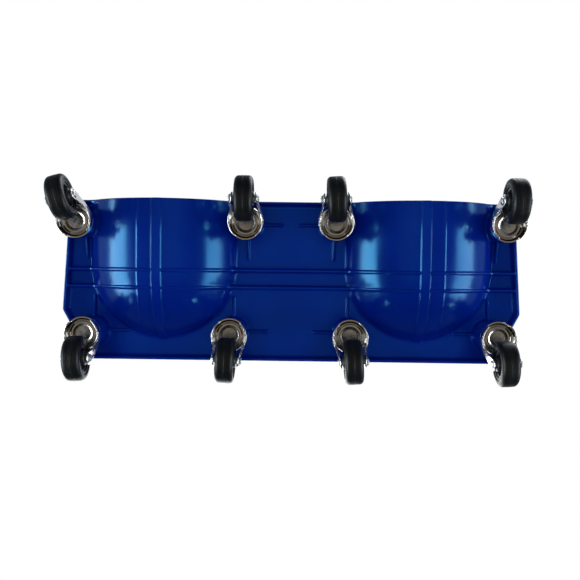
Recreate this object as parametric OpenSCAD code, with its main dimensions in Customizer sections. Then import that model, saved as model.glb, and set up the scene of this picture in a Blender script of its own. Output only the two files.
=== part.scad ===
// Rolling kneeling creeper: a moulded tray with two knee wells on eight
// swivel casters. Millimetres. +Z is up, the wheels stand on z = 0, X runs
// along the length, the wells open to the rear (+Y) and are round in front.

/* [Tray] */
// Half the tray's length at the rear edge
tray_rear_half = 267; // [262:1:272]
// Half the tray's length where the front corners start
tray_wide_half = 275.5; // [272:0.5:280]
// Y of the rear edge
tray_rear_y = 92.5; // [90:0.5:96]
// Y of the front edge
tray_front_y = -99.5; // [-103:0.5:-97]
// Y where the front corner cuts start
cut_start_y = -40; // [-50:1:-30]
// Length along X of each front corner cut
cut_x = 32; // [24:1:36]
// Radius of the tray's outline corners
corner_r = 7; // [4:0.5:9]
// Height of the skirt's lower edge
skirt_z = 93.5; // [90:0.5:98]
// Height of the deck's underside
deck_z = 110; // [106:0.5:114]
// Thickness of the deck
deck_t = 3; // [2.5:0.5:4]
// Thickness of skirt and well walls
wall = 3.2; // [2.5:0.1:4]

/* [Knee wells] */
// Distance of each well's centre from the middle
well_x = 155; // [150:1:158]
// Half-width of each well at the deck
well_half = 87; // [80:1:88]
// Y of the centre of each well's round front
well_y = 15; // [10:1:18]
// Height of the lowest point under each well
well_low_z = 53.6; // [53.4:0.1:58]
// Radius of the small arcs at the sides of the well's arch
arch_side_r = 30; // [26:1:36]
// Width of the raised band along each well's bottom
band_w = 11.5; // [8:0.5:14]
// How far the raised bands stand proud of the well
band_h = 1.6; // [0.8:0.1:2]

/* [Ribs and caster pillars] */
// Y of the rear long rib
rib_rear_y = 9.5; // [6:0.5:14]
// Y of the front long rib
rib_front_y = -11; // [-16:0.5:-8]
// Thickness of the long ribs
rib_t = 3; // [2:0.2:4]
// Radius of the caster pillars
pillar_r = 17; // [16:0.5:17.5]
// Height of the pillars' lower faces
pillar_z = 65; // [64.5:0.5:66]
// Radius of the recess inside each pillar
recess_r = 13.8; // [12:0.2:14]
// Thickness of the floor in each pillar
pillar_floor = 5; // [4:0.5:8]

/* [Caster positions] */
// X of the outer rear swivel axes
rear_outer_x = 248.5; // [246:0.5:250]
// X of the inner rear swivel axes
rear_inner_x = 52; // [51.5:0.5:56]
// X of the outer front swivel axes
front_outer_x = 239.5; // [236:0.5:241]
// X of the inner front swivel axes
front_inner_x = 69.5; // [66:0.5:72]
// Distance of both caster rows from the middle
row_y = 65; // [63:0.5:66]

/* [Casters] */
// Wheel diameter
wheel_d = 50.8; // [48:0.1:51]
// Tyre width
tyre_w = 20.4; // [18:0.1:21]
// Distance of the axle behind the swivel axis
trail = 25; // [24:0.1:26]
// Inner width between the fork arms
fork_gap = 24; // [23:0.1:25]
// Thickness of the pressed fork
fork_t = 2; // [1.6:0.1:2.2]
// Radius of the fork's flared lip
lip_r = 20; // [19:0.1:20.5]
// Number of balls in each swivel bearing
ball_n = 12; // [8:1:13]
// Radial clearance of the running wheel bore
run_clear = 0.05; // [0.02:0.01:0.09]

/* [Knee pads] */
// Thickness of the foam liners
pad_t = 11; // [8:0.5:13]
// Height of the pads' upper edges
pad_top_z = 97; // [92:0.5:100]
// Y of the pads' rear ends
pad_rear_y = 88; // [80:0.5:90]

/* [Hidden] */
$fn = 64;
e = 0.01;

deck_top = deck_z + deck_t;
wheel_r = wheel_d / 2;
// swivel axes: x, y, side the wheel trails to, rest turn about +Z in degrees
CASTERS = [
  [ rear_outer_x,   row_y,  1, -15],
  [ rear_inner_x,   row_y,  1,   0],
  [-rear_inner_x,   row_y,  1,  -3],
  [-rear_outer_x,   row_y,  1,   0],
  [ front_outer_x, -row_y, -1,  -3],
  [ front_inner_x, -row_y, -1,   3],
  [-front_inner_x, -row_y, -1,  -4],
  [-front_outer_x, -row_y, -1,  -3]];

// ---- tray outline, counter-clockwise, moved inwards by d ----
OUT = [[ tray_wide_half, cut_start_y], [ tray_rear_half, tray_rear_y],
       [-tray_rear_half, tray_rear_y], [-tray_wide_half, cut_start_y],
       [-(tray_wide_half - cut_x), tray_front_y], [tray_wide_half - cut_x, tray_front_y]];
function unit(v) = v / norm(v);
function nrm(a, b) = let(u = unit(b - a)) [u[1], -u[0]];
// corner point of two edges moved inwards by d
function corner(i, d) = let(n = len(OUT), p = OUT[(i + n - 1) % n], q = OUT[i], s = OUT[(i + 1) % n],
    n1 = nrm(p, q), n2 = nrm(q, s), k = 1 + n1 * n2) q - (n1 + n2) * d / k;
// outline with round corners, moved inwards by d
module outline(d = 0) {
  r = max(corner_r - d, 0.6);
  C = [for (i = [0:5]) corner(i, d + r)];
  polygon([for (i = [0:5]) each [
    C[i] + nrm(OUT[(i + 5) % 6], OUT[i]) * r,
    C[i] + nrm(OUT[i], OUT[(i + 1) % 6]) * r]]);
  for (c = C) translate(c) circle(r);
}

// ---- arch of the wells: one wide arc between two small side arcs ----
side_cx = well_half - arch_side_r;
arch_dz = deck_z - well_low_z;
// radius of the wide arc, so that it meets the side arcs smoothly
arch_r = (side_cx * side_cx + arch_dz * arch_dz - arch_side_r * arch_side_r) / (2 * (arch_dz - arch_side_r));
arch_cz = well_low_z + arch_r;
arch_dir = unit([side_cx, deck_z - arch_cz]);
// region above the arch, up to ztop, moved outwards by d; the side arcs stand
// proud of the wide arc by a hair, so that the arcs cross cleanly
hair = 0.02;
module arch(d = 0, ztop = 113) {
  tz = deck_z + arch_dir[1] * (arch_side_r + d) - 0.3;
  intersection() {
    translate([0, arch_cz]) circle(arch_r + d);
    translate([-100, 40]) square([200, tz - 40]);
  }
  intersection() {
    for (s = [-1, 1]) translate([s * side_cx, deck_z]) circle(arch_side_r + d + hair);
    translate([-100, deck_z - 45]) square([200, 45]);
  }
  translate([-side_cx, tz - 1]) square([2 * side_cx, deck_z - tz + 1]);
  translate([-well_half - d - hair, deck_z]) square([2 * (well_half + d + hair), ztop - deck_z]);
}
// solid of one well moved outwards by d, running back to y1
module well(d = 0, y1 = 92.5, ztop = 113) {
  translate([0, y1, 0]) rotate([90, 0, 0]) linear_extrude(y1 - well_y) arch(d, ztop);
  translate([0, well_y, 0]) rotate([0, 0, 180]) rotate_extrude(angle = 180)
    intersection() { arch(d, ztop); translate([0, 0]) square([200, ztop + 1]); }
}
module wells(d = 0, y1 = 92.5, ztop = 113) { for (s = [-1, 1]) translate([s * well_x, 0, 0]) well(d, y1, ztop); }

// ---- tray ----
module gusset(h, len) { rotate([90, 0, 0]) translate([0, 0, -1.2]) linear_extrude(2.4)
  polygon([[0, 0], [len, 0], [len, -4], [2, -h], [0, -h]]); }
module pillar_gussets(i) {
  c = CASTERS[i - 1];
  inner = (c[0] > 0) ? 180 : 0;
  for (a = [inner, c[1] > 0 ? -90 : 90])
    translate([c[0], c[1], deck_z]) rotate([0, 0, a]) translate([pillar_r - 1, 0, 0]) gusset(26, abs(c[0]) > 200 && a == inner ? 6 : 11);
}
// flat deck with the wells' openings and the pillars' recesses
module tray_deck() color("royalblue") difference() {
  translate([0, 0, deck_z]) linear_extrude(deck_t) outline();
  wells(0, tray_rear_y + 5, deck_top + 5);
  for (c = CASTERS) translate([c[0], c[1], deck_z - 5]) cylinder(r = recess_r, h = 20);
}
// skirt round the edge, and the two long ribs in the bays beside the wells
module tray_skirt() color("royalblue") {
  difference() {
    translate([0, 0, skirt_z]) linear_extrude(deck_z - skirt_z) difference() { outline(); outline(wall); }
    wells(0, tray_rear_y + 5, deck_top + 5);
  }
  difference() {
    intersection() {
      for (y = [rib_rear_y, rib_front_y]) translate([-290, y - rib_t / 2, skirt_z + 2]) cube([580, rib_t, deck_z - skirt_z - 2]);
      translate([0, 0, skirt_z]) linear_extrude(30) outline(1);
    }
    wells(band_h, tray_rear_y + 5, deck_top + 5);
  }
}
// one well's shell with its raised band and the ribs' runs round it
module knee_well(s) color("royalblue") difference() {
  union() {
    translate([s * well_x, 0, 0]) well(0, tray_rear_y, deck_top);
    intersection() {
      translate([s * well_x, 0, 0]) well(band_h, tray_rear_y, deck_top);
      union() {
        for (y = [rib_rear_y, rib_front_y]) translate([s * well_x - 120, y - rib_t / 2, 40]) cube([240, rib_t, deck_z - 40]);
        translate([s * well_x - band_w / 2, -78, 40]) cube([band_w, tray_rear_y + 78, deck_z - 40]);
      }
    }
  }
  translate([s * well_x, 0, 0]) well(-wall, tray_rear_y + 5, deck_top + 5);
}
module knee_well_left() { knee_well(1); }
module knee_well_right() { knee_well(-1); }
// hollow pillars that carry the casters, with their gussets
module caster_pillars() color("royalblue") difference() {
  intersection() {
    union() {
      for (c = CASTERS) translate([c[0], c[1], pillar_z]) cylinder(r = pillar_r, h = deck_z - pillar_z);
      for (i = [1:8]) pillar_gussets(i);
    }
    translate([0, 0, 40]) linear_extrude(100) outline(wall + 0.2);
  }
  wells(0, tray_rear_y + 5, deck_top + 5);
  for (c = CASTERS) {
    translate([c[0], c[1], pillar_z + pillar_floor]) cylinder(r = recess_r, h = 60);
    translate([c[0], c[1], pillar_z - 1]) cylinder(r = 4.2, h = 20);
  }
}

// ---- knee pads: foam liners that follow the wells ----
module knee_pad(s) color("dimgray") translate([s * well_x, 0, 0]) difference() {
  intersection() {
    well(-wall - 0.15, pad_rear_y, pad_top_z);
    translate([-100, -90, 40]) cube([200, 300, pad_top_z - 40]);
  }
  well(-wall - pad_t, pad_rear_y + 5, pad_top_z + 30);
}
module knee_pad_left() { knee_pad(1); }
module knee_pad_right() { knee_pad(-1); }

// ---- fixed caster parts ----
module at_casters() { for (c = CASTERS) translate([c[0], c[1], 0]) children(); }
ball_r = 2.3;
ball_pcd_r = 12.5;
ball_z = 60;
module caster_stems() color("silver") at_casters() {
  // king pin with its riveted head below the fork, a shoulder under the race and the stem
  difference() {
    translate([0, 0, 53.6]) cylinder(r = 5.8, h = 2);
    translate([0, 0, 52.6]) cylinder(r = 2.2, h = 1.8);
  }
  translate([0, 0, 55.4]) cylinder(r = 7.6, h = 0.9);
  translate([0, 0, 56.2]) cylinder(r = 5.6, h = 5.3);
  translate([0, 0, 61.4]) cylinder(r = 4, h = 21);
}
module upper_raceways() color("silver") at_casters() rotate_extrude() difference() {
  polygon([[4.05, 61.7], [15.6, 61.7], [17.8, 62.6], [18.4, 63.6], [18.4, 65], [4.05, 65]]);
  translate([ball_pcd_r, ball_z]) circle(ball_r + 0.1);
}
module ball_bearings() color("lightgray") at_casters() for (k = [0:ball_n - 1])
  rotate([0, 0, k * 360 / ball_n]) translate([ball_pcd_r, 0, ball_z]) sphere(ball_r);
module stem_washers() color("silver") at_casters() translate([0, 0, pillar_z + pillar_floor]) difference() {
  cylinder(r = 8, h = 1.6); translate([0, 0, -1]) cylinder(r = 4.1, h = 4);
}
module stem_nuts() color("silver") at_casters() translate([0, 0, pillar_z + pillar_floor + 1.6]) difference() {
  rotate([0, 0, 30]) cylinder(r = 7.5, h = 6.5, $fn = 6); translate([0, 0, -1]) cylinder(r = 4.05, h = 10);
}

// ---- swivelling parts: built with the wheel trailing along +Y ----
module placed(i) { c = CASTERS[i - 1]; translate([c[0], c[1], 0]) rotate([0, 0, c[3] + (c[2] > 0 ? 0 : 180)]) children(); }
// side shape of a fork arm in Y, Z
module arm_shape() {
  polygon([[9, 47], [13.2, 41], [17.9, 25.4], [32.1, 25.4], [28.5, 41], [20.5, 56.6], [16, 58.6], [9, 58.6]]);
  translate([trail, wheel_r]) circle(7.1);
}
module fork(i) color("gainsboro") placed(i) difference() {
  union() {
    // crown, ball groove and flared skirt, open where the wheel passes
    difference() {
      rotate_extrude() difference() {
        union() {
          polygon([[5.8, 56.6], [16.4, 56.6], [17.2, 54.5], [17.5, 50], [lip_r - 0.6, 46.8], [lip_r, 47.4],
                   [19.4, 50.2], [19.2, 55], [18.2, 57.8], [16.4, 58.6], [5.8, 58.6]]);
          intersection() {
            translate([ball_pcd_r, ball_z]) circle(ball_r + 2.3);
            translate([5.8, 50]) square([12, 8.6]);
          }
        }
        translate([ball_pcd_r, ball_z]) circle(ball_r + 0.35);
      }
      translate([-(fork_gap / 2 + 1), 0, 40]) cube([fork_gap + 2, 30, 15.2]);
    }
    for (s = [-1, 1]) translate([s * (fork_gap / 2 + fork_t / 2) - fork_t / 2, 0, 0])
      rotate([90, 0, 90]) linear_extrude(fork_t) difference() { arm_shape(); translate([trail, wheel_r]) circle(3.05); }
  }
  // keep the bearing's own circle clear inside the arms
  translate([0, 0, 59.2]) cylinder(r = 30, h = 5);
  translate([0, 0, 54]) cylinder(r = 5.85, h = 8);
}
module axle_bolt(i) color("silver") placed(i) translate([0, trail, wheel_r]) rotate([0, 90, 0]) {
  translate([0, 0, -fork_gap / 2 - fork_t - 2.7]) cylinder(r = 5.2, h = 2.7, $fn = 6);
  translate([0, 0, -fork_gap / 2 - fork_t - e]) cylinder(r = 3, h = fork_gap + 2 * fork_t + 3.9);
}
module axle_nut(i) color("silver") placed(i) translate([0, trail, wheel_r]) rotate([0, 90, 0])
  translate([0, 0, fork_gap / 2 + fork_t]) difference() {
    cylinder(r = 5.2, h = 3.1, $fn = 6); translate([0, 0, -1]) cylinder(r = 3.05, h = 6);
  }
module bush(i) color("silver") placed(i) translate([0, trail, wheel_r]) rotate([0, 90, 0]) difference() {
  cylinder(r = 4.6, h = fork_gap - 0.1, center = true); cylinder(r = 3.05, h = 40, center = true);
}
hub_r = 15;
module hub(i) color("dimgray") placed(i) translate([0, trail, wheel_r]) rotate([0, 90, 0]) rotate_extrude()
  polygon([[4.6 + run_clear, -11.2], [7.4, -11.2], [8, -10.2], [8.6, -3.4], [11.6, -3.4], [12.4, -8], [hub_r, -8],
           [hub_r, 8], [12.4, 8], [11.6, 3.4], [8.6, 3.4], [8, 10.2], [7.4, 11.2], [4.6 + run_clear, 11.2]]);
shoulder_r = 5;
module tyre(i) color([0.08, 0.08, 0.08]) placed(i) translate([0, trail, wheel_r]) rotate([0, 90, 0]) rotate_extrude() difference() {
  union() {
    translate([hub_r, -tyre_w / 2]) square([wheel_r - hub_r - shoulder_r, tyre_w]);
    translate([hub_r, -tyre_w / 2 + shoulder_r]) square([wheel_r - hub_r, tyre_w - 2 * shoulder_r]);
    for (s = [-1, 1]) translate([wheel_r - shoulder_r, s * (tyre_w / 2 - shoulder_r)]) circle(shoulder_r);
  }
  for (s = [-1, 1]) {
    translate([17.6, s * (tyre_w / 2 + 0.9)]) circle(1.7);
    translate([hub_r - 1, s > 0 ? tyre_w / 2 - 1 : -tyre_w / 2 - 1]) square([2, 2]);
  }
}

tray_deck();
tray_skirt();
knee_well_left();
knee_well_right();
caster_pillars();
knee_pad_left();
knee_pad_right();
caster_stems();
upper_raceways();
ball_bearings();
stem_washers();
stem_nuts();
fork(1);  // fork_1
fork(2);  // fork_2
fork(3);  // fork_3
fork(4);  // fork_4
fork(5);  // fork_5
fork(6);  // fork_6
fork(7);  // fork_7
fork(8);  // fork_8
axle_bolt(1);  // axle_bolt_1
axle_bolt(2);  // axle_bolt_2
axle_bolt(3);  // axle_bolt_3
axle_bolt(4);  // axle_bolt_4
axle_bolt(5);  // axle_bolt_5
axle_bolt(6);  // axle_bolt_6
axle_bolt(7);  // axle_bolt_7
axle_bolt(8);  // axle_bolt_8
axle_nut(1);  // axle_nut_1
axle_nut(2);  // axle_nut_2
axle_nut(3);  // axle_nut_3
axle_nut(4);  // axle_nut_4
axle_nut(5);  // axle_nut_5
axle_nut(6);  // axle_nut_6
axle_nut(7);  // axle_nut_7
axle_nut(8);  // axle_nut_8
bush(1);  // bush_1
bush(2);  // bush_2
bush(3);  // bush_3
bush(4);  // bush_4
bush(5);  // bush_5
bush(6);  // bush_6
bush(7);  // bush_7
bush(8);  // bush_8
hub(1);  // hub_1
hub(2);  // hub_2
hub(3);  // hub_3
hub(4);  // hub_4
hub(5);  // hub_5
hub(6);  // hub_6
hub(7);  // hub_7
hub(8);  // hub_8
tyre(1);  // tyre_1
tyre(2);  // tyre_2
tyre(3);  // tyre_3
tyre(4);  // tyre_4
tyre(5);  // tyre_5
tyre(6);  // tyre_6
tyre(7);  // tyre_7
tyre(8);  // tyre_8
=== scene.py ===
"""Rolling kneeling creeper: the visible pieces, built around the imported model."""
import math

import bpy
import numpy as np
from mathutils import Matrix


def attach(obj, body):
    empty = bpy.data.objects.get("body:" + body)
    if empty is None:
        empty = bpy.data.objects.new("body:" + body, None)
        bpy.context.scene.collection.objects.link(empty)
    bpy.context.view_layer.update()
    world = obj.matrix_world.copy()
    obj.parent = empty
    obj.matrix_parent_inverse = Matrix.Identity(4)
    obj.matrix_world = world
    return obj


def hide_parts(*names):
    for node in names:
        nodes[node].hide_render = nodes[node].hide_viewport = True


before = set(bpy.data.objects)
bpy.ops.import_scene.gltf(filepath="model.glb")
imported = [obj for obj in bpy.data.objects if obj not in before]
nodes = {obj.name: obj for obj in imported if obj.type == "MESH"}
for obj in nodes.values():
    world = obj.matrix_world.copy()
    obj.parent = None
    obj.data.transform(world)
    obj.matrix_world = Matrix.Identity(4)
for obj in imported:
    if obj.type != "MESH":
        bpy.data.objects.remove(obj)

import openvdb as vdb
from mathutils import Matrix, Vector

for spare in ("Cube", "Light", "Camera"):
    if spare in bpy.data.objects:
        bpy.data.objects.remove(bpy.data.objects[spare])
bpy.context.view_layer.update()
scene = bpy.context.scene
MM = 0.001

# the tray's sizes, in millimetres, as in the CAD
OUT = [(275.5, -40.0), (267.0, 92.5), (-267.0, 92.5), (-275.5, -40.0), (-243.5, -99.5), (243.5, -99.5)]
WELL_X, WELL_Y, WELL_HALF, SIDE_R, LOW_Z, DECK_Z, TOP_Z = 155.0, 15.0, 87.0, 30.0, 53.6, 110.0, 113.0
WALL = 3.2
SIDE_C = WELL_HALF - SIDE_R
ARCH_DZ = DECK_Z - LOW_Z
ARCH_R = (SIDE_C ** 2 + ARCH_DZ ** 2 - SIDE_R ** 2) / (2 * (ARCH_DZ - SIDE_R))
ARCH_CZ = LOW_Z + ARCH_R
ARCH_D = np.array([SIDE_C, DECK_Z - ARCH_CZ]) / math.hypot(SIDE_C, DECK_Z - ARCH_CZ)
# swivel axes: x, y, side the wheel trails to, rest turn in degrees
CASTERS = [(248.5, 65, 1, -15), (52, 65, 1, 0), (-52, 65, 1, -3), (-248.5, 65, 1, 0),
           (239.5, -65, -1, -3), (69.5, -65, -1, 3), (-69.5, -65, -1, -4), (-239.5, -65, -1, -3)]


# ---------------------------------------------------------------- solids as distance fields
def smin(a, b, k):
    h = np.maximum(k - np.abs(a - b), 0) / k
    return np.minimum(a, b) - h * h * (k * 0.25)


def smax(a, b, k):
    return -smin(-a, -b, k)


def rext(d2, dz, r):
    """A flat shape's distance and a height's, as one solid with its edges rounded by r."""
    a, b = d2 + r, dz + r
    return np.minimum(np.maximum(a, b), 0) + np.sqrt(np.maximum(a, 0) ** 2 + np.maximum(b, 0) ** 2) - r


def poly(px, py, pts):
    """Exact signed distance to a closed polygon, negative inside."""
    px, py = np.broadcast_arrays(np.asarray(px, np.float32), np.asarray(py, np.float32))
    best = np.full(px.shape, 1e9, np.float32)
    sign = np.ones(px.shape, np.float32)
    n = len(pts)
    for i in range(n):
        ax, ay = pts[i]
        bx, by = pts[i - 1]
        ex, ey = bx - ax, by - ay
        wx, wy = px - ax, py - ay
        t = np.clip((wx * ex + wy * ey) / (ex * ex + ey * ey), 0, 1)
        best = np.minimum(best, (wx - ex * t) ** 2 + (wy - ey * t) ** 2)
        c1, c2, c3 = py >= ay, py < by, ex * wy > ey * wx
        flip = (c1 & c2 & c3) | (~c1 & ~c2 & ~c3)
        sign = np.where(flip, -sign, sign)
    return sign * np.sqrt(best)


def inset(pts, d):
    """A convex counter-clockwise polygon moved inwards by d."""
    out = []
    n = len(pts)
    for i in range(n):
        p, q, s = (np.array(pts[j % n], float) for j in (i - 1, i, i + 1))
        u, v = (q - p) / np.linalg.norm(q - p), (s - q) / np.linalg.norm(s - q)
        n1, n2 = np.array([u[1], -u[0]]), np.array([v[1], -v[0]])
        out.append(tuple(q - (n1 + n2) * d / (1 + n1 @ n2)))
    return out


def bump_line(t, half, edge):
    """1 on a strip of that half width, falling to 0 over edge."""
    s = np.clip((half - np.abs(t)) / edge + 0.5, 0, 1)
    return s * s * (3 - 2 * s)


def arch(rho, z):
    """Signed distance to the wells' arch, negative in the well."""
    wide = rho * -ARCH_D[1] < (ARCH_CZ - z) * ARCH_D[0]
    side = np.where(z < DECK_Z, np.hypot(rho - SIDE_C, z - DECK_Z) - SIDE_R, rho - WELL_HALF)
    return np.where(wide, np.hypot(rho, z - ARCH_CZ) - ARCH_R, side)


def sample(f, q):
    """Trilinear sample of f at index coordinates q."""
    top = np.array(f.shape) - 1.001
    q = np.clip(q, 0, top)
    i = q.astype(np.int64)
    t = q - i
    out = 0
    for dx in (0, 1):
        for dy in (0, 1):
            for dz in (0, 1):
                w = (t[:, 0] if dx else 1 - t[:, 0]) * (t[:, 1] if dy else 1 - t[:, 1]) * (t[:, 2] if dz else 1 - t[:, 2])
                out = out + w * f[i[:, 0] + dx, i[:, 1] + dy, i[:, 2] + dz]
    return out


def gradient(f, q):
    g = np.stack([sample(f, q + e) - sample(f, q - e) for e in np.eye(3) * 0.6], 1)
    return g / np.maximum(np.linalg.norm(g, axis=1, keepdims=True), 1e-9)


def raw_mesh(name, pts, quads, tris):
    me = bpy.data.meshes.new(name)
    nq, nt = len(quads), len(tris)
    loops = np.concatenate([np.asarray(quads, np.int32).ravel(), np.asarray(tris, np.int32).ravel()])
    me.vertices.add(len(pts))
    me.vertices.foreach_set("co", np.asarray(pts, np.float32).ravel())
    me.loops.add(len(loops))
    me.loops.foreach_set("vertex_index", loops)
    me.polygons.add(nq + nt)
    starts = np.concatenate([np.arange(nq) * 4, nq * 4 + np.arange(nt) * 3]).astype(np.int32)
    me.polygons.foreach_set("loop_start", starts)
    me.polygons.foreach_set("use_smooth", np.ones(nq + nt, bool))
    me.update(calc_edges=True)
    return me


def link(name, me, matrix=None):
    ob = bpy.data.objects.new(name, me)
    scene.collection.objects.link(ob)
    if matrix is not None:
        ob.matrix_world = matrix
    return ob


def baked(ob, name):
    """The object's mesh with its modifiers applied, as a new mesh."""
    deps = bpy.context.evaluated_depsgraph_get()
    me = bpy.data.meshes.new_from_object(ob.evaluated_get(deps))
    me.name = name
    return me


def surface(name, f, origin, h, faces, crease=32.0):
    """The field's surface as a mesh in metres, with at most that many triangles and the field's own normals."""
    band = 3 * h
    g = vdb.FloatGrid(band)
    g.copyFromArray(np.ascontiguousarray(np.clip(f, -band, band), dtype=np.float32))
    pts, tris, quads = g.convertToPolygons(isovalue=0.0, adaptivity=0.0)
    pts, quads = np.asarray(pts, float), np.asarray(quads, np.int64)
    tris = np.asarray(tris, np.int64).reshape(-1, 3)
    a, b, c = (pts[quads[:, k]] for k in (0, 1, 2))
    facing = np.cross(b - a, c - a)
    if np.sum(facing * gradient(f, (a + c) / 2)) < 0:
        quads, tris = quads[:, ::-1], tris[:, ::-1]
    origin = np.asarray(origin, float)
    me = raw_mesh(name, (pts * h + origin) * MM, quads, tris)
    have = 2 * len(quads) + len(tris)
    if have > faces:
        ob = link(name + "_raw", me)
        mod = ob.modifiers.new("thin", "DECIMATE")
        mod.ratio = faces / have
        mod.use_collapse_triangulate = True
        thin = baked(ob, name)
        bpy.data.objects.remove(ob)
        bpy.data.meshes.remove(me)
        me = thin
    n = len(me.vertices)
    co = np.empty(n * 3, np.float32)
    me.vertices.foreach_get("co", co)
    q = (co.reshape(-1, 3).astype(float) / MM - origin) / h
    vn = gradient(f, q)
    corner = np.empty(len(me.loops), np.int32)
    me.loops.foreach_get("vertex_index", corner)
    totals = np.empty(len(me.polygons), np.int32)
    me.polygons.foreach_get("loop_total", totals)
    fn = np.empty(len(me.polygons) * 3, np.float32)
    me.polygons.foreach_get("normal", fn)
    fn = np.repeat(fn.reshape(-1, 3), totals, axis=0)
    cn = vn[corner]
    off = np.sum(cn * fn, axis=1) < math.cos(math.radians(crease))
    cn[off] = fn[off]
    me.polygons.foreach_set("use_smooth", np.ones(len(me.polygons), bool))
    me.normals_split_custom_set(cn.astype(np.float32))
    me.update()
    return me


# ---------------------------------------------------------------- the moulded tray
def tray_mesh():
    h = 0.8
    nx, ny, nz = 349, 247, 83
    x = ((np.arange(nx) + 0.5) * h).astype(np.float32)
    y = (-101.6 + np.arange(ny) * h).astype(np.float32)
    z = (49.2 + np.arange(nz) * h).astype(np.float32)
    X, Y, Z = x[:, None, None], y[None, :, None], z[None, None, :]
    d2 = (poly(x[:, None], y[None, :], inset(OUT, 7.0)) - 7.0)[:, :, None]
    block = rext(d2, np.abs(Z - 103.25) - 9.75, 1.3)
    # the space under the deck, inside the skirt
    under = rext(d2 + WALL, Z - DECK_Z, 3.0)
    f = smax(block, -under, 1.1)
    # distance from each well's middle line or front centre, and to the wells' arch
    rho = np.where(Y < WELL_Y, np.hypot(X - WELL_X, Y - WELL_Y), np.abs(X - WELL_X)).astype(np.float32)
    A = arch(rho, Z).astype(np.float32)
    # ribs between the skirts
    for yr in (9.5, -11.0):
        draft = (Z - 95.5) * 0.012
        rib = rext(np.abs(Y - yr) - 1.45 - draft, np.abs(Z - 104) - 8.5, 0.8)
        rib = np.maximum(rib, d2 + 1.6)
        f = smin(f, rib, 2.2)
    # pillars and their gussets
    for cx, cy, inner_h in ((248.5, 65, 6), (52.0, 65, 11), (239.5, -65, 6), (69.5, -65, 11)):
        i0, i1 = np.searchsorted(x, (cx - 52, cx + 52))
        j0, j1 = np.searchsorted(y, (cy - 52, cy + 52))
        s = (slice(i0, i1), slice(j0, j1), slice(None))
        lx, ly = x[i0:i1][:, None, None] - cx, y[j0:j1][None, :, None] - cy
        r = np.hypot(lx, ly)
        pil = rext(r - 17.0 - (Z - 65) * 0.008, np.abs(Z - 88) - 23, 1.3)
        g = smin(f[s], pil, 3.2)
        for ax, ay, hh in ((-1, 0, inner_h), (0, -math.copysign(1, cy), 11)):
            t = lx * ax + ly * ay
            w = lx * ay + ly * ax
            side = poly((t + 0 * Z), (Z + 0 * t), [(12, DECK_Z + 1), (12, DECK_Z - hh), (18.5, DECK_Z - hh), (42, DECK_Z - 3.6), (42, DECK_Z + 1)])
            gus = rext(side, np.abs(w) - 1.15, 0.6)
            g = smin(g, gus, 2.0)
        f[s] = g
    # the wells' outer skin, with its raised bands, the crossing ribs and a fine crease
    lift = 1.55 * np.maximum(np.maximum(bump_line(X - WELL_X, 5.75, 1.2) + 0 * Y, bump_line(Y - 9.5, 1.5, 1.2) + 0 * X),
                             bump_line(Y + 11.0, 1.5, 1.2) + 0 * X)
    lift = lift + 0.55 * np.exp(-((X - WELL_X - 22.0) / 0.9) ** 2) * (lift < 0.1)
    skin = np.maximum(A - lift, Z - 111.6)
    f = smin(f, skin, 5.0)
    f = smax(f, Y - 92.5, 1.0)
    f = np.maximum(f, Z - TOP_Z)
    # the wells themselves
    f = smax(f, -(A + WALL), 1.8)
    # recesses in the pillars from above, and the stems' holes
    for cx, cy in ((248.5, 65), (52.0, 65), (239.5, -65), (69.5, -65)):
        i0, i1 = np.searchsorted(x, (cx - 24, cx + 24))
        j0, j1 = np.searchsorted(y, (cy - 24, cy + 24))
        s = (slice(i0, i1), slice(j0, j1), slice(None))
        r = np.hypot(x[i0:i1][:, None, None] - cx, y[j0:j1][None, :, None] - cy)
        rec = np.maximum(rext(r - 13.8, 70.0 - Z, 1.8), -A[s])
        f[s] = smax(f[s], -rec, 1.4)
        f[s] = np.maximum(f[s], -np.maximum(r - 4.2, Z - 76))
    full = np.concatenate([f[::-1], f], axis=0)
    return surface("tray_body", full, (-(nx - 0.5) * h, y[0], z[0]), h, 196000)


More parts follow.
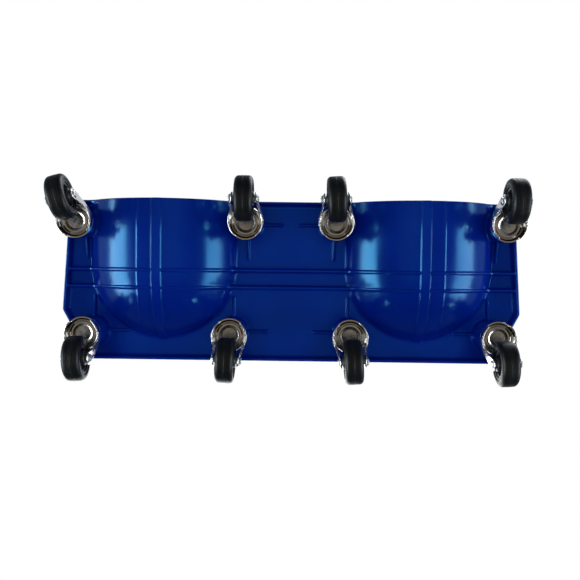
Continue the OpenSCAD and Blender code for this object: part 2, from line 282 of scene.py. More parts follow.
# ---------------------------------------------------------------- the pressed steel fork
def fork_mesh():
    h = 0.4
    nx, ny, nz = 54, 142, 112
    x = ((np.arange(nx) + 0.5) * h).astype(np.float32)
    y = (-22.0 + np.arange(ny) * h).astype(np.float32)
    z = (16.6 + np.arange(nz) * h).astype(np.float32)
    X, Y, Z = x[:, None, None], y[None, :, None], z[None, None, :]
    r = np.hypot(X, Y)
    # seen from above the sheet's wall is a circle that narrows in an S to two parallel arms
    t = np.clip((26.0 - Y) / 9.0, 0, 1)
    half = 14.35 + 0.95 * t * t * (3 - 2 * t)
    plan = smin(r - 19.75, np.maximum(X - half, -Y), 9.0)
    plan = np.where(Y < -2, r - 19.75, plan)
    # the wall is a sheet 1.7 mm thick, inside that outline
    wall = np.abs(plan + 0.85) - 0.85
    # seen from the side: a low band round the front, and a leg that narrows in an S to a round eye
    front = rext(np.maximum(-Z + 47.2, Z - 58.2), Y - 14.0, 0.5)
    leg = poly(Y + 0 * Z, Z + 0 * Y, [(4.0, 47.2), (9.5, 46.2), (12.6, 42.5), (15.2, 36.0), (17.0, 30.5), (18.2, 27.5), (31.6, 27.5),
                                      (30.8, 33.0), (28.9, 40.0), (26.0, 46.5), (22.6, 52.0), (20.0, 55.4), (16.8, 58.0), (4.0, 58.0)]) - 0.2
    leg = smin(leg, np.hypot(Y - 25.0, Z - 25.4) - 7.0, 3.0)
    side = smin(front, leg, 1.5)
    sheet = smax(wall, side, 0.5)
    # the bearing's pressed cup: a crown plate with the balls' bead and a step at its rim
    crown = poly(r, Z, [(6.1, 56.9), (9.3, 56.9), (15.6, 56.9), (17.0, 56.2), (18.2, 55.2), (19.0, 56.6), (18.2, 57.9), (16.2, 58.4), (6.1, 58.4)]) - 0.22
    bead = np.maximum(np.hypot(r - 12.5, Z - 60) - 4.45, np.maximum(Z - 58.6, 6.0 - r))
    crown = smin(crown, bead, 1.0)
    crown = smax(crown, r - 19.2, 0.3)
    f = smin(crown, sheet, 1.5)
    # a pressed ring round the axle's eye
    eye = np.hypot(Y - 25.0, Z - 25.4)
    ring = rext(np.abs(eye - 6.0) - 0.5, np.abs(X - 14.3) - 0.5, 0.3)
    f = smin(f, ring, 0.5)
    f = np.maximum(f, Z - 59.1)
    f = np.maximum(f, -rext(X - 11.98, Z - 54.8, 0.3))
    # the balls' groove, the bore and the axle's hole
    f = smax(f, -(np.hypot(r - 12.5, Z - 60) - 2.68), 0.4)
    f = np.maximum(f, -(r - 5.9))
    f = np.maximum(f, -(eye - 3.1))
    full = np.concatenate([f[::-1], f], axis=0)
    return surface("fork_pressed", full, (-(nx - 0.5) * h, y[0], z[0]), h, 30000)


def hex2(y, z, apothem):
    y, z = np.abs(y), np.abs(z)
    return np.maximum(z, y * 0.8660254 + z * 0.5) - apothem


def bolt_mesh():
    """Hexagonal head with a washer face, and the shank with its threaded end, along X about the axle."""
    h = 0.24
    x = np.arange(-18.2, 19.4, h).astype(np.float32)
    y = np.arange(-6.0, 6.01, h).astype(np.float32)
    X, Y, Z = x[:, None, None], y[None, :, None], y[None, None, :]
    r = np.hypot(Y, Z)
    head = rext(hex2(Y, Z, 4.3), np.abs(X + 15.5) - 1.2, 0.3)
    head = smax(head, r - 4.95 + np.maximum(-X - 15.7, 0) * 1.3, 0.3)
    head = smin(head, rext(r - 5.0, np.abs(X + 14.65) - 0.33, 0.15), 0.2)
    thread = np.where(X > 13.9, 0.17 * np.abs(((X / 1.0) % 1.0) - 0.5) * 2, 0)
    shank = rext(r - 3.0 + thread, np.abs(X - 1.4) - 16.4, 0.45)
    return surface("axle_bolt_vis", np.minimum(head, shank), (x[0], y[0], y[0]), h, 9000)


def nut_mesh(length=2.9, apothem=4.35, bore=3.05, flange=0.0):
    """Hexagonal nut along X from 0 to length."""
    h = 0.22
    n = apothem * 1.2 + 1 + flange
    x = np.arange(-0.9, length + 0.9, h).astype(np.float32)
    y = np.arange(-n, n, h).astype(np.float32)
    X, Y, Z = x[:, None, None], y[None, :, None], y[None, None, :]
    r = np.hypot(Y, Z)
    body = rext(hex2(Y, Z, apothem), np.abs(X - length / 2) - length / 2, 0.25)
    end = np.minimum(X, length - X)
    body = smax(body, r - apothem * 1.152 + np.maximum(0.7 - end, 0) * 1.2, 0.25)
    bored = r - bore - np.maximum(0.5 - end, 0) * 0.9
    body = smax(body, -bored, 0.2)
    return surface("nut_vis", body, (x[0], y[0], y[0]), h, 8000)


def lathe(name, profile, n=96, sharp=35):
    """A closed profile of (radius, x) turned about the X axis, in millimetres."""
    p = np.array(profile, float)
    m = len(p)
    a = np.arange(n) * 2 * math.pi / n
    pts = np.empty((n, m, 3))
    pts[:, :, 0] = p[None, :, 1]
    pts[:, :, 1] = np.cos(a)[:, None] * p[None, :, 0]
    pts[:, :, 2] = np.sin(a)[:, None] * p[None, :, 0]
    i, j = np.meshgrid(np.arange(n), np.arange(m), indexing="ij")
    i2, j2 = (i + 1) % n, (j + 1) % m
    quads = np.stack([i * m + j, i * m + j2, i2 * m + j2, i2 * m + j], -1).reshape(-1, 4)
    P = pts.reshape(-1, 3)
    v = np.einsum("ij,ij->i", P[quads[:, 0]], np.cross(P[quads[:, 1]], P[quads[:, 2]])).sum()
    if v < 0:
        quads = quads[:, ::-1]
    me = raw_mesh(name, P * MM, quads, np.empty((0, 3), int))
    me.set_sharp_from_angle(angle=math.radians(sharp))
    return me


def arc(cr, cx, r, a0, a1, n):
    return [(cr + r * math.sin(math.radians(a0 + (a1 - a0) * k / n)), cx + r * math.cos(math.radians(a0 + (a1 - a0) * k / n))) for k in range(n + 1)]


def tyre_mesh():
    half = [(15.05, 9.3), (16.2, 9.3), (16.45, 9.55), (16.75, 9.62)]
    half += [(17.0, 9.45), (17.5, 9.32), (18.1, 9.4), (18.45, 9.8), (18.8, 10.12), (19.3, 10.2)]
    half += arc(20.3, 5.2, 5.0, 0, 80, 12)
    half += [(25.28, 4.1), (25.3, 3.75), (25.02, 3.6), (25.02, 3.3), (25.33, 3.15), (25.38, 1.6), (25.39, 0.42), (25.28, 0.3), (25.24, 0.12)]
    prof = half + [(r, -x) for r, x in reversed(half)]
    return lathe("tyre_vis", prof, 120, 40)


def hub_mesh():
    half = [(4.66, 10.9), (4.95, 11.15), (7.0, 11.18), (7.4, 11.0), (7.75, 10.5), (8.0, 9.6), (8.3, 6.2), (8.7, 4.1), (9.3, 3.45),
            (10.6, 3.3), (11.5, 3.6), (12.0, 4.6), (12.35, 7.3), (12.7, 7.85), (13.3, 8.05), (14.9, 8.05), (15.0, 7.9)]
    prof = half + [(r, -x) for r, x in reversed(half)]
    return lathe("hub_vis", prof, 96, 34)


# ---------------------------------------------------------------- the wells' padded liners
def arch_point(d, k):
    """Point (rho, z) at offset d inside the arch, k from 0 at the bottom to 1 at the level z = 97.6."""
    low = math.atan2(ARCH_D[0], -ARCH_D[1])
    top = math.asin(min(0.999, (DECK_Z - 97.6) / (SIDE_R - d)))
    span_low, span_side = low * (ARCH_R - d), (math.pi / 2 - low - top) * (SIDE_R - d)
    u = k * (span_low + span_side)
    if u < span_low:
        a = u / (ARCH_R - d)
        return (ARCH_R - d) * math.sin(a), ARCH_CZ - (ARCH_R - d) * math.cos(a)
    a = low + (u - span_low) / (SIDE_R - d)
    return SIDE_C + (SIDE_R - d) * math.sin(a), DECK_Z - (SIDE_R - d) * math.cos(a)


def plan(x, y):
    """Distance from a well's middle line or front centre, and its direction, for the left well."""
    rho = np.where(y < WELL_Y, np.hypot(x - WELL_X, y - WELL_Y), np.abs(x - WELL_X))
    ux = np.where(y < WELL_Y, (x - WELL_X) / np.maximum(rho, 1e-6), np.sign(x - WELL_X))
    uy = np.where(y < WELL_Y, (y - WELL_Y) / np.maximum(rho, 1e-6), 0.0)
    return rho, ux, uy


def shift(P, amount):
    """Points moved along the arch's outward normal."""
    rho, ux, uy = plan(P[:, 0], P[:, 1])
    e = 0.05
    gr = (arch(rho + e, P[:, 2]) - arch(rho - e, P[:, 2])) / (2 * e)
    gz = (arch(rho, P[:, 2] + e) - arch(rho, P[:, 2] - e)) / (2 * e)
    gr = np.where(rho < 1.0, 0.0, gr)
    return P + amount[:, None] * np.stack([gr * ux, gr * uy, gz], 1)


def coords(me):
    co = np.empty(len(me.vertices) * 3, np.float32)
    me.vertices.foreach_get("co", co)
    return co.reshape(-1, 3).astype(float)


def seams(rho, y):
    """1 on the sewn channels: two that run round the well, and two across its middle panel."""
    w = np.exp(-((rho - 27.0) / 1.9) ** 2) + np.exp(-((rho - 52.0) / 1.9) ** 2)
    for yc in (24.0, 56.0):
        w = w + np.exp(-((y - yc) / 1.9) ** 2) * (rho < 27.0)
    return np.minimum(w, 1.0)


def liner(node):
    """Foam liner of the left well: its solid remeshed, swelled by cloth pressure, held by the well, then quilted."""
    src = nodes[node]
    me = src.data.copy()
    me.materials.clear()
    me.transform(src.matrix_world)
    ob = link("liner_start", me)
    mod = ob.modifiers.new("even", "REMESH")
    mod.mode = "VOXEL"
    mod.voxel_size = 0.0045
    mod = ob.modifiers.new("ease", "SMOOTH")
    mod.factor, mod.iterations = 0.5, 3
    me = baked(ob, "liner_even")
    bpy.data.objects.remove(ob)
    P = coords(me) / MM
    rho = plan(P[:, 0], P[:, 1])[0]
    A = arch(rho, P[:, 2])
    P = shift(P, np.where(A < -9.0, 2.0, 0.0))
    me.vertices.foreach_set("co", (P * MM).astype(np.float32).ravel())
    me.update()
    ob = link("liner_cloth", me)
    cl = ob.modifiers.new("foam", "CLOTH")
    st = cl.settings
    st.quality = 6
    st.mass = 0.3
    st.tension_stiffness = st.compression_stiffness = 15
    st.bending_stiffness = 4
    st.use_pressure = True
    st.uniform_pressure_force = 4.0
    st.effector_weights.gravity = 0.0
    cl.collision_settings.use_collision = False
    for frame_no in range(1, 21):
        scene.frame_set(frame_no)
    soft = baked(ob, "liner_soft")
    scene.frame_set(1)
    bpy.data.objects.remove(ob)
    move = coords(soft) / MM - P
    size = np.linalg.norm(move, axis=1, keepdims=True)
    Q = P + move * np.minimum(1.0, 5.0 / np.maximum(size, 1e-6))
    soft.vertices.foreach_set("co", (Q * MM).astype(np.float32).ravel())
    soft.update()
    ob = link("liner_fine", soft)
    mod = ob.modifiers.new("fine", "SUBSURF")
    mod.levels = mod.render_levels = 2
    fine = baked(ob, "knee_liner")
    bpy.data.objects.remove(ob)
    P = coords(fine) / MM
    rho = plan(P[:, 0], P[:, 1])[0]
    A = arch(rho, P[:, 2])
    inner = np.clip((-A - 9.0) / 3.0, 0, 1) * np.clip((95.0 - P[:, 2]) / 5.0, 0, 1) * np.clip((86.5 - P[:, 1]) / 3.0, 0, 1)
    P = shift(P, inner * 3.0 * seams(rho, P[:, 1]))
    # the cover is drawn in along the piping
    edge = np.clip((-A - 9.0) / 3.0, 0, 1) * np.exp(-((P[:, 2] - 93.5) / 1.8) ** 2) * (P[:, 1] < 86)
    P = shift(P, edge * 1.2)
    # the well's wall holds it, and its ends stay inside the tray
    for _ in range(2):
        rho = plan(P[:, 0], P[:, 1])[0]
        A = arch(rho, P[:, 2])
        P = shift(P, -np.maximum(A + 3.45, 0.0))
    P[:, 1] = np.minimum(P[:, 1], 90.5)
    P[:, 2] = np.minimum(P[:, 2], 99.0)
    fine.vertices.foreach_set("co", (P * MM).astype(np.float32).ravel())
    fine.polygons.foreach_set("use_smooth", np.ones(len(fine.polygons), bool))
    fine.update()
    return fine


def tube(name, path, r, n=12):
    """A closed cord of radius r along the closed path, in millimetres."""
    path = np.asarray(path, float)
    m = len(path)
    tan = np.roll(path, -1, 0) - np.roll(path, 1, 0)
    tan /= np.linalg.norm(tan, axis=1, keepdims=True)
    nor = np.zeros_like(path)
    first = np.cross(tan[0], (0.3, 0.5, 0.8))
    nor[0] = first / np.linalg.norm(first)
    for i in range(1, m):
        v = nor[i - 1] - tan[i] * (nor[i - 1] @ tan[i])
        nor[i] = v / np.linalg.norm(v)
    v = nor[-1] - tan[0] * (nor[-1] @ tan[0])
    v /= np.linalg.norm(v)
    twist = math.atan2(np.cross(nor[0], v) @ tan[0], nor[0] @ v)
    a = np.arange(n) * 2 * math.pi / n
    pts = []
    for i in range(m):
        b = np.cross(tan[i], nor[i])
        q = a - twist * i / m
        pts.append(path[i] + r * (np.cos(q)[:, None] * nor[i] + np.sin(q)[:, None] * b))
    i, j = np.meshgrid(np.arange(m), np.arange(n), indexing="ij")
    i2, j2 = (i + 1) % m, (j + 1) % n
    quads = np.stack([i * n + j, i * n + j2, i2 * n + j2, i2 * n + j], -1).reshape(-1, 4)
    P = np.concatenate(pts)
    centre = P[quads].mean(1)
    out = centre - path[np.repeat(np.arange(m), n)]
    if np.sum(np.cross(P[quads[:, 1]] - P[quads[:, 0]], P[quads[:, 3]] - P[quads[:, 0]]) * out) < 0:
        quads = quads[:, ::-1]
    return raw_mesh(name, P * MM, quads, np.empty((0, 3), int))


def piping_path(liner_me):
    """Round the liner's upper edge and down along its rear end, for the left well."""
    from mathutils.bvhtree import BVHTree
    d, yr = 13.0, 87.0
    rp, zp = arch_point(d, 1.0)
    pts = [(WELL_X + rp, y, zp) for y in np.linspace(84.0, WELL_Y, 26)]
    pts += [(WELL_X + rp * math.cos(t), WELL_Y - rp * math.sin(t), zp) for t in np.linspace(0, math.pi, 64)[1:-1]]
    pts += [(WELL_X - rp, y, zp) for y in np.linspace(WELL_Y, 84.0, 26)]
    for k in np.concatenate([np.linspace(-0.95, 0.95, 72)]):
        r, z = arch_point(d, abs(k))
        pts.append((WELL_X + math.copysign(r, k), yr, z))
    tree = BVHTree.FromPolygons([tuple(p) for p in coords(liner_me) / MM], [tuple(p.vertices) for p in liner_me.polygons])
    set_on = []
    for q in pts:
        hit, nor, _, _ = tree.find_nearest(Vector(q))
        set_on.append(np.array(hit) + np.array(nor) * 0.7)
    pts = np.array(set_on)
    for _ in range(6):
        pts = pts * 0.5 + np.roll(pts, 1, 0) * 0.25 + np.roll(pts, -1, 0) * 0.25
    nxt = np.roll(pts, -1, 0)
    return np.stack([pts * 0.75 + nxt * 0.25, pts * 0.25 + nxt * 0.75], 1).reshape(-1, 3)


def stitches(name, liner_me):
    """Thread stitches down in the sewn channels of the left liner."""
    from mathutils.bvhtree import BVHTree
    P = coords(liner_me) / MM
    tree = BVHTree.FromPolygons([tuple(p) for p in P], [tuple(p.vertices) for p in liner_me.polygons])
    lines = []
    for r in (27.0, 52.0):
        line = [(WELL_X + r, y) for y in np.arange(83.0, WELL_Y, -1.0)]
        line += [(WELL_X + r * math.cos(t), WELL_Y - r * math.sin(t)) for t in np.linspace(0, math.pi, int(math.pi * r))]
        line += [(WELL_X - r, y) for y in np.arange(WELL_Y, 83.0, 1.0)]
        lines.append(line)
    for yc in (24.0, 56.0):
        lines.append([(WELL_X + x, yc) for x in np.arange(-24.0, 24.1, 1.0)])
    k, m = 7, 8
    pts, quads = [], []
    for line in lines:
        line = np.array(line)
        run = np.concatenate([[0], np.cumsum(np.linalg.norm(np.diff(line, axis=0), axis=1))])
        for u in np.arange(2.0, run[-1] - 2.0, 4.4):
            ends = []
            for v in (u - 1.45, u + 1.45):
                x, y = np.interp(v, run, line[:, 0]), np.interp(v, run, line[:, 1])
                hit, nor, _, _ = tree.ray_cast(Vector((x, y, 140.0)), Vector((0, 0, -1)))
                ends.append(None if hit is None else (np.array(hit), np.array(nor)))
            if None in ends:
                continue
            (p, n0), (q, n1) = ends
            nrm = n0 + n1
            nrm = nrm / np.linalg.norm(nrm)
            tan = (q - p) / np.linalg.norm(q - p)
            sid = np.cross(nrm, tan)
            mid = (p + q) / 2 + nrm * 0.12
            half = np.linalg.norm(q - p) / 2
            base = len(pts)
            for i in range(k):
                s = -math.cos(math.pi * (i + 0.35) / (k - 0.3)) if 0 < i < k - 1 else (-1 if i == 0 else 1)
                w = 0.46 * math.sqrt(max(1 - s ** 4, 0.02))
                for j in range(m):
                    a = 2 * math.pi * j / m
                    pts.append(mid + tan * half * s + (sid * math.cos(a) + nrm * math.sin(a)) * w + nrm * 0.12 * (1 - s * s))
            for i in range(k - 1):
                for j in range(m):
                    quads.append((base + i * m + j, base + (i + 1) * m + j, base + (i + 1) * m + (j + 1) % m, base + i * m + (j + 1) % m))
            for i in (0, k - 1):
                ring = [base + i * m + j for j in range(m)]
                if i == 0:
                    ring = ring[::-1]
                ring = ring[::-1]
                for a, b, c, d in ((0, 1, 2, 3), (0, 3, 4, 7), (4, 5, 6, 7)):
                    quads.append((ring[a], ring[b], ring[c], ring[d]))
    P = np.array(pts)
    quads = np.array(quads)
    me = raw_mesh(name, P * MM, quads, np.empty((0, 3), int))
    import bmesh
    bm = bmesh.new()
    bm.from_mesh(me)
    bmesh.ops.recalc_face_normals(bm, faces=bm.faces)
    bm.to_mesh(me)
    bm.free()
    return me


def mirrored(me, name):
    out = me.copy()
    out.name = name
    co = coords(out)
    co[:, 0] = -co[:, 0]
    out.vertices.foreach_set("co", co.astype(np.float32).ravel())
    out.flip_normals()
    out.update()
    return out


# ---------------------------------------------------------------- materials
def shader(name, base, dark, light, rough, metallic=0.0, grain=(900.0, 0.00006), blotch=18.0, spec=0.5,
           coat=0.0, coat_rough=0.1, wear=None, ior=1.5, sheen=0.0, fine=None, tint=(1, 1, 1), painted_shade_ring=None):
    """Node material: colour from three tones by soft noise, roughness from noise, and a fine relief."""
    m = bpy.data.materials.new(name)
    m.use_nodes = True
    nt = m.node_tree
    N, L = nt.nodes, nt.links
    N.clear()
    out = N.new("ShaderNodeOutputMaterial")
    bs = N.new("ShaderNodeBsdfPrincipled")
    L.new(bs.outputs[0], out.inputs[0])
    tc = N.new("ShaderNodeTexCoord")
    n1 = N.new("ShaderNodeTexNoise")
    n1.inputs["Scale"].default_value = blotch
    n1.inputs["Detail"].default_value = 6
    L.new(tc.outputs["Object"], n1.inputs["Vector"])
    ramp = N.new("ShaderNodeValToRGB")
    e = ramp.color_ramp.elements
    e[0].position, e[1].position = 0.32, 0.72
    e[0].color, e[1].color = (*dark, 1), (*light, 1)
    mid = e.new(0.5)
    mid.color = (*base, 1)
    L.new(n1.outputs["Fac"], ramp.inputs["Fac"])
    colour = ramp.outputs["Color"]
    if wear:
        # convex edges rubbed paler
        geo = N.new("ShaderNodeNewGeometry")
        pr = N.new("ShaderNodeMapRange")
        pr.inputs["From Min"].default_value, pr.inputs["From Max"].default_value = wear[1], wear[2]
        L.new(geo.outputs["Pointiness"], pr.inputs["Value"])
        n3 = N.new("ShaderNodeTexNoise")
        n3.inputs["Scale"].default_value = 260
        L.new(tc.outputs["Object"], n3.inputs["Vector"])
        mul = N.new("ShaderNodeMath")
        mul.operation = "MULTIPLY"
        L.new(pr.outputs["Result"], mul.inputs[0])
        L.new(n3.outputs["Fac"], mul.inputs[1])
        mx = N.new("ShaderNodeMix")
        mx.data_type = "RGBA"
        L.new(mul.outputs[0], mx.inputs["Factor"])
        L.new(colour, mx.inputs["A"])
        mx.inputs["B"].default_value = (*wear[0], 1)
        colour = mx.outputs["Result"]
    if painted_shade_ring:
        # painted shade: a dark ring painted into the fork cup's groove about the object's Z axis, standing in for the
        # shadow there: inner and outer radius, lowest z, in metres
        sp = N.new("ShaderNodeSeparateXYZ")
        L.new(tc.outputs["Object"], sp.inputs[0])
        flat = N.new("ShaderNodeCombineXYZ")
        L.new(sp.outputs["X"], flat.inputs["X"])
        L.new(sp.outputs["Y"], flat.inputs["Y"])
        ln = N.new("ShaderNodeVectorMath")
        ln.operation = "LENGTH"
        L.new(flat.outputs[0], ln.inputs[0])
        masks = []
        for src, lo, hi in ((ln.outputs["Value"], painted_shade_ring[0], painted_shade_ring[0] + 0.0008), (ln.outputs["Value"], painted_shade_ring[1], painted_shade_ring[1] - 0.0003),
                            (sp.outputs["Z"], painted_shade_ring[2], painted_shade_ring[2] + 0.0012)):
            mm = N.new("ShaderNodeMapRange")
            mm.inputs["From Min"].default_value, mm.inputs["From Max"].default_value = lo, hi
            L.new(src, mm.inputs["Value"])
            masks.append(mm.outputs["Result"])
        m1 = N.new("ShaderNodeMath")
        m1.operation = "MULTIPLY"
        L.new(masks[0], m1.inputs[0])
        L.new(masks[1], m1.inputs[1])
        m2 = N.new("ShaderNodeMath")
        m2.operation = "MULTIPLY"
        L.new(m1.outputs[0], m2.inputs[0])
        L.new(masks[2], m2.inputs[1])
        painted_shade_mix = N.new("ShaderNodeMix")
        painted_shade_mix.data_type = "RGBA"
        L.new(m2.outputs[0], painted_shade_mix.inputs["Factor"])
        L.new(colour, painted_shade_mix.inputs["A"])
        painted_shade_mix.inputs["B"].default_value = (0.070, 0.062, 0.056, 1)
        colour = painted_shade_mix.outputs["Result"]
    L.new(colour, bs.inputs["Base Color"])
    n2 = N.new("ShaderNodeTexNoise")
    n2.inputs["Scale"].default_value = blotch * 3.1
    n2.inputs["Detail"].default_value = 8
    n2.inputs["Roughness"].default_value = 0.6
    L.new(tc.outputs["Object"], n2.inputs["Vector"])
    mr = N.new("ShaderNodeMapRange")
    mr.inputs["From Min"].default_value, mr.inputs["From Max"].default_value = 0.3, 0.7
    mr.inputs["To Min"].default_value, mr.inputs["To Max"].default_value = rough
    L.new(n2.outputs["Fac"], mr.inputs["Value"])
    L.new(mr.outputs["Result"], bs.inputs["Roughness"])
    ng = N.new("ShaderNodeTexNoise")
    ng.inputs["Scale"].default_value = grain[0]
    ng.inputs["Detail"].default_value = 3
    L.new(tc.outputs["Object"], ng.inputs["Vector"])
    bump = N.new("ShaderNodeBump")
    bump.inputs["Strength"].default_value = 0.5
    bump.inputs["Distance"].default_value = grain[1]
    L.new(ng.outputs["Fac"], bump.inputs["Height"])
    normal = bump.outputs["Normal"]
    if fine:
        kind, scale, dist = fine
        if kind == "leather":
            vo = N.new("ShaderNodeTexVoronoi")
            vo.feature = "DISTANCE_TO_EDGE"
            vo.inputs["Scale"].default_value = scale
            L.new(tc.outputs["Object"], vo.inputs["Vector"])
            src = vo.outputs["Distance"]
        else:
            vo = N.new("ShaderNodeTexNoise")
            vo.inputs["Scale"].default_value = scale
            vo.inputs["Detail"].default_value = 2
            mp = N.new("ShaderNodeMapping")
            mp.inputs["Scale"].default_value = (1.0, 0.06, 1.0)
            L.new(tc.outputs["Object"], mp.inputs["Vector"])
            L.new(mp.outputs["Vector"], vo.inputs["Vector"])
            src = vo.outputs["Fac"]
        b2 = N.new("ShaderNodeBump")
        b2.inputs["Strength"].default_value = 0.6
        b2.inputs["Distance"].default_value = dist
        L.new(src, b2.inputs["Height"])
        L.new(normal, b2.inputs["Normal"])
        normal = b2.outputs["Normal"]
    L.new(normal, bs.inputs["Normal"])
    bs.inputs["Metallic"].default_value = metallic
    bs.inputs["Specular IOR Level"].default_value = spec
    bs.inputs["Specular Tint"].default_value = (*tint, 1)
    bs.inputs["IOR"].default_value = ior
    bs.inputs["Coat Weight"].default_value = coat
    bs.inputs["Coat Roughness"].default_value = coat_rough
    bs.inputs["Sheen Weight"].default_value = sheen
    return m


blue = shader("tray_plastic_blue", (0.0004, 0.020, 0.335), (0.0003, 0.016, 0.280), (0.0009, 0.027, 0.380), (0.15, 0.24),
              grain=(700.0, 0.00003), blotch=9.0, wear=((0.006, 0.060, 0.36), 0.52, 0.60), tint=(0.13, 0.68, 1.0))
zinc = shader("zinc_plated", (0.62, 0.63, 0.65), (0.48, 0.49, 0.52), (0.78, 0.79, 0.80), (0.20, 0.36), metallic=1.0,
              grain=(1500.0, 0.00004), blotch=60.0)
# the fork's cup gets a painted shade ring in its groove, dark where the shadow falls
fork_steel = shader("fork_bright_steel", (0.82, 0.77, 0.71), (0.66, 0.60, 0.53), (0.92, 0.89, 0.85), (0.15, 0.28), metallic=1.0,
                    grain=(1300.0, 0.00003), blotch=45.0, fine=("brush", 1400.0, 0.00001), painted_shade_ring=(0.0158, 0.0184, 0.0475))
raceway = shader("raceway_steel", (0.56, 0.50, 0.42), (0.38, 0.32, 0.25), (0.70, 0.66, 0.60), (0.22, 0.38), metallic=1.0,
                 grain=(1500.0, 0.00004), blotch=70.0)
ball_steel = shader("bearing_steel", (0.70, 0.70, 0.71), (0.55, 0.55, 0.56), (0.82, 0.82, 0.83), (0.08, 0.16), metallic=1.0,
                    grain=(1800.0, 0.00001), blotch=90.0)
bolt_steel = shader("bolt_steel", (0.58, 0.58, 0.58), (0.42, 0.41, 0.40), (0.72, 0.72, 0.71), (0.24, 0.40), metallic=1.0,
                    grain=(1600.0, 0.00005), blotch=80.0)
rubber = shader("tyre_rubber_black", (0.0034, 0.0030, 0.0030), (0.0022, 0.0020, 0.0020), (0.0070, 0.0062, 0.0060), (0.36, 0.52),
                grain=(1100.0, 0.00006), blotch=55.0, wear=((0.022, 0.020, 0.019), 0.50, 0.58), spec=0.3)
hub_plastic = shader("hub_nylon", (0.020, 0.020, 0.021), (0.014, 0.014, 0.015), (0.030, 0.030, 0.031), (0.32, 0.46),
                     grain=(1000.0, 0.00005), blotch=50.0)
vinyl = shader("pad_vinyl", (0.016, 0.017, 0.019), (0.011, 0.012, 0.013), (0.024, 0.025, 0.028), (0.40, 0.56),
               grain=(1200.0, 0.00008), blotch=14.0, fine=("leather", 520.0, 0.00035), sheen=0.08)
piping = shader("pad_piping", (0.010, 0.010, 0.011), (0.007, 0.007, 0.008), (0.018, 0.018, 0.019), (0.34, 0.48),
                grain=(1500.0, 0.00006), blotch=40.0)
thread = shader("pad_thread", (0.20, 0.20, 0.21), (0.14, 0.14, 0.15), (0.27, 0.27, 0.28), (0.55, 0.7),
                grain=(3000.0, 0.00008), blotch=200.0)


def dress(ob, mat):
    ob.data.materials.clear()
    ob.data.materials.append(mat)


# ---------------------------------------------------------------- build
tray = link("tray_body", tray_mesh())
dress(tray, blue)
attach(tray, "tray")
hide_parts(*[n for n in ("tray_shell", "tray_deck", "tray_skirt", "knee_well_left", "knee_well_right", "caster_pillars") if n in nodes])

fork_me, bolt_me, nut_me, tyre_me, hub_me = fork_mesh(), bolt_mesh(), nut_mesh(), tyre_mesh(), hub_mesh()
for me, mat in ((fork_me, fork_steel), (bolt_me, bolt_steel), (nut_me, bolt_steel), (tyre_me, rubber), (hub_me, hub_plastic)):
    me.materials.append(mat)
for i, (cx, cy, side, turn) in enumerate(CASTERS, 1):
    place = Matrix.Translation((cx * MM, cy * MM, 0)) @ Matrix.Rotation(math.radians(turn + (0 if side > 0 else 180)), 4, "Z")
    axle = place @ Matrix.Translation((0, 0.025, 0.0254))
    spin = axle @ Matrix.Rotation(math.pi / 2 * i, 4, "X")
    for name, me, at, body, node, slot in (
            ("pressed_fork", fork_me, place, "caster_fork", "fork", "fork_steel"),
            ("hex_bolt", bolt_me, axle, "caster_fork", "axle_bolt", "zinc_steel"),
            ("hex_nut", nut_me, axle @ Matrix.Translation((0.0142, 0, 0)), "caster_fork", "axle_nut", "zinc_steel"),
            ("rubber_tyre", tyre_me, spin, "wheel", "tyre", "tyre_rubber"),
            ("wheel_hub", hub_me, spin, "wheel", "hub", "hub_plastic")):
        ob = link(f"{name}_{i}", me, at)
        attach(ob, f"{body}_{i}")
        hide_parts(f"{node}_{i}")

liner_me = liner("knee_pad_left")
piping_me = tube("liner_piping", piping_path(liner_me), 1.7)
stitch_me = stitches("liner_stitches", liner_me)
for side in ("left", "right"):
    for name, me, mat in (("padded_liner", liner_me, vinyl), ("liner_piping", piping_me, piping), ("liner_stitches", stitch_me, thread)):
        ob = link(f"{name}_{side}", me if side == "left" else mirrored(me, f"{name}_{side}"))
        dress(ob, mat)
        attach(ob, "tray")
        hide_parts(f"knee_pad_{side}")

for name, mat in (("caster_stems", zinc), ("upper_raceways", raceway), ("ball_bearings", ball_steel),
                  ("stem_washers", zinc), ("stem_nuts", bolt_steel)):
    dress(nodes[name], mat)
for i in range(1, 9):
    dress(nodes[f"bush_{i}"], zinc)

# ---------------------------------------------------------------- floor, lights, camera
fl = bpy.data.meshes.new("floor")
fl.from_pydata([(-6, -6, 0), (6, -6, 0), (6, 6, 0), (-6, 6, 0)], [], [(0, 1, 2, 3)])
floor = link("floor", fl)
fm = bpy.data.materials.new("floor_pale")
fm.use_nodes = True
N, L = fm.node_tree.nodes, fm.node_tree.links
N.clear()
out = N.new("ShaderNodeOutputMaterial")
mix = N.new("ShaderNodeMixShader")
dif = N.new("ShaderNodeBsdfDiffuse")
dif.inputs["Color"].default_value = (0.86, 0.86, 0.87, 1)
tra = N.new("ShaderNodeBsdfTransparent")
geo = N.new("ShaderNodeNewGeometry")
lp = N.new("ShaderNodeLightPath")
inv = N.new("ShaderNodeMath")
inv.operation = "SUBTRACT"
inv.inputs[0].default_value = 1.0
L.new(geo.outputs["Backfacing"], inv.inputs[1])
both = N.new("ShaderNodeMath")
both.operation = "MULTIPLY"
L.new(inv.outputs[0], both.inputs[0])
L.new(lp.outputs["Is Camera Ray"], both.inputs[1])
L.new(both.outputs[0], mix.inputs[0])
L.new(tra.outputs[0], mix.inputs[1])
L.new(dif.outputs[0], mix.inputs[2])
L.new(mix.outputs[0], out.inputs[0])
dress(floor, fm)

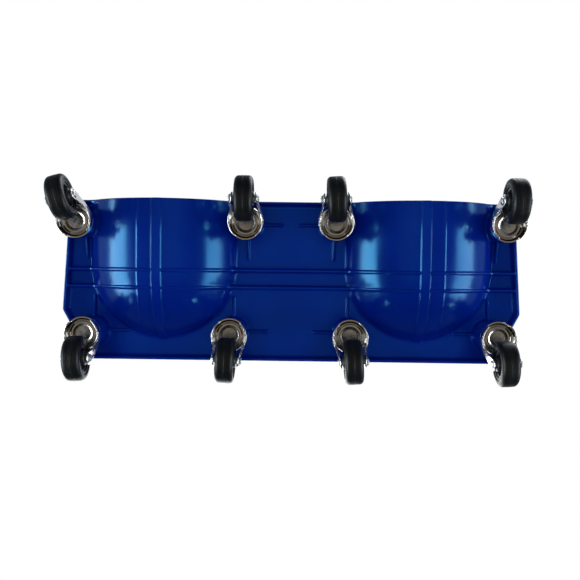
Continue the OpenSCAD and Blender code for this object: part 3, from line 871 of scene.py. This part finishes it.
world = bpy.data.worlds.new("studio")
scene.world = world
world.use_nodes = True
N, L = world.node_tree.nodes, world.node_tree.links
N.clear()
out = N.new("ShaderNodeOutputWorld")
seen = N.new("ShaderNodeBackground")
seen.inputs["Color"].default_value = (1, 1, 1, 1)
seen.inputs["Strength"].default_value = 1.0
lit = N.new("ShaderNodeBackground")
tc = N.new("ShaderNodeTexCoord")
sep = N.new("ShaderNodeSeparateXYZ")
L.new(tc.outputs["Generated"], sep.inputs[0])
sky = N.new("ShaderNodeValToRGB")
el = sky.color_ramp.elements
el[0].position, el[0].color = 0.0, (0.24, 0.20, 0.15, 1)
el[1].position, el[1].color = 1.0, (0.55, 0.58, 0.62, 1)
for pos, col in ((0.06, (0.12, 0.10, 0.08)), (0.22, (0.09, 0.15, 0.22)), (0.42, (0.18, 0.36, 0.56)), (0.52, (0.24, 0.42, 0.60)), (0.62, (0.40, 0.52, 0.64))):
    new = el.new(pos)
    new.color = (*col, 1)
half_up = N.new("ShaderNodeMapRange")
half_up.inputs["From Min"].default_value, half_up.inputs["From Max"].default_value = -1, 1
L.new(sep.outputs["Z"], half_up.inputs["Value"])
L.new(half_up.outputs["Result"], sky.inputs["Fac"])
L.new(sky.outputs["Color"], lit.inputs["Color"])
across = N.new("ShaderNodeMath")
across.operation = "ABSOLUTE"
L.new(sep.outputs["Y"], across.inputs[0])
less = N.new("ShaderNodeMapRange")
less.inputs["From Min"].default_value, less.inputs["From Max"].default_value = 0.25, 0.85
less.inputs["To Min"].default_value, less.inputs["To Max"].default_value = 1.0, 0.22
L.new(across.outputs[0], less.inputs["Value"])
L.new(less.outputs["Result"], lit.inputs["Strength"])
mix = N.new("ShaderNodeMixShader")
lp = N.new("ShaderNodeLightPath")
L.new(lp.outputs["Is Camera Ray"], mix.inputs[0])
L.new(lit.outputs[0], mix.inputs[1])
L.new(seen.outputs[0], mix.inputs[2])
L.new(mix.outputs[0], out.inputs[0])


def lamp(name, at, target, size, power, colour=(1, 1, 1)):
    d = bpy.data.lights.new(name, "AREA")
    d.shape = "RECTANGLE"
    d.size, d.size_y = size
    d.energy = power
    d.color = colour
    o = bpy.data.objects.new(name, d)
    scene.collection.objects.link(o)
    at, target = Vector(at), Vector(target)
    o.matrix_world = Matrix.Translation(at) @ (target - at).to_track_quat("-Z", "Y").to_matrix().to_4x4()
    o.visible_camera = False
    return o


COOL = (0.86, 0.94, 1.0)
for name, x in (("left", 1.75), ("right", -1.75)):
    gloss = lamp("side_" + name, (x, -0.35, -0.62), (0, -0.1, 0.06), (1.5, 0.85), 47 if x > 0 else 31, COOL)
    gloss.visible_diffuse = False
    soft = lamp("fill_" + name, (x, -0.35, -0.62), (0, -0.1, 0.06), (1.5, 0.85), 12, (0.74, 0.92, 1.0))
    soft.visible_glossy = False
below = lamp("fill_below", (0, 0, -1.5), (0, 0, 0), (1.4, 1.0), 7.5, (0.80, 0.95, 1.0))
below.visible_glossy = False
lamp("top_soft", (0.4, -0.9, 1.7), (0, 0, 0.05), (1.6, 1.6), 34, (1.0, 0.98, 0.96))
lamp("top_back", (-0.9, 1.2, 1.3), (0, 0, 0.05), (1.2, 1.2), 20, (0.95, 0.98, 1.0))


def rot(axis, a):
    return Matrix.Rotation(a, 3, axis)


cam_data = bpy.data.cameras.new("camera")
cam = bpy.data.objects.new("camera", cam_data)
scene.collection.objects.link(cam)
scene.camera = cam
cam_data.sensor_width = 36.0
cam_data.lens = 726.0 / 580.0 * 36.0
cam_data.clip_start, cam_data.clip_end = 0.05, 20.0
R = rot("Z", -0.012) @ rot("X", -0.037) @ rot("Y", 0.012) @ Matrix(((-1, 0, 0), (0, 1, 0), (0, 0, 1)))
right, up, fwd = (Vector(R[k]) for k in range(3))
m = Matrix((right, up, -fwd)).transposed().to_4x4()
m.translation = Vector((-9.76, 19.1, -779.0)) * MM
cam.matrix_world = m
scene.view_settings.view_transform = "Standard"
scene.view_settings.look = "None"
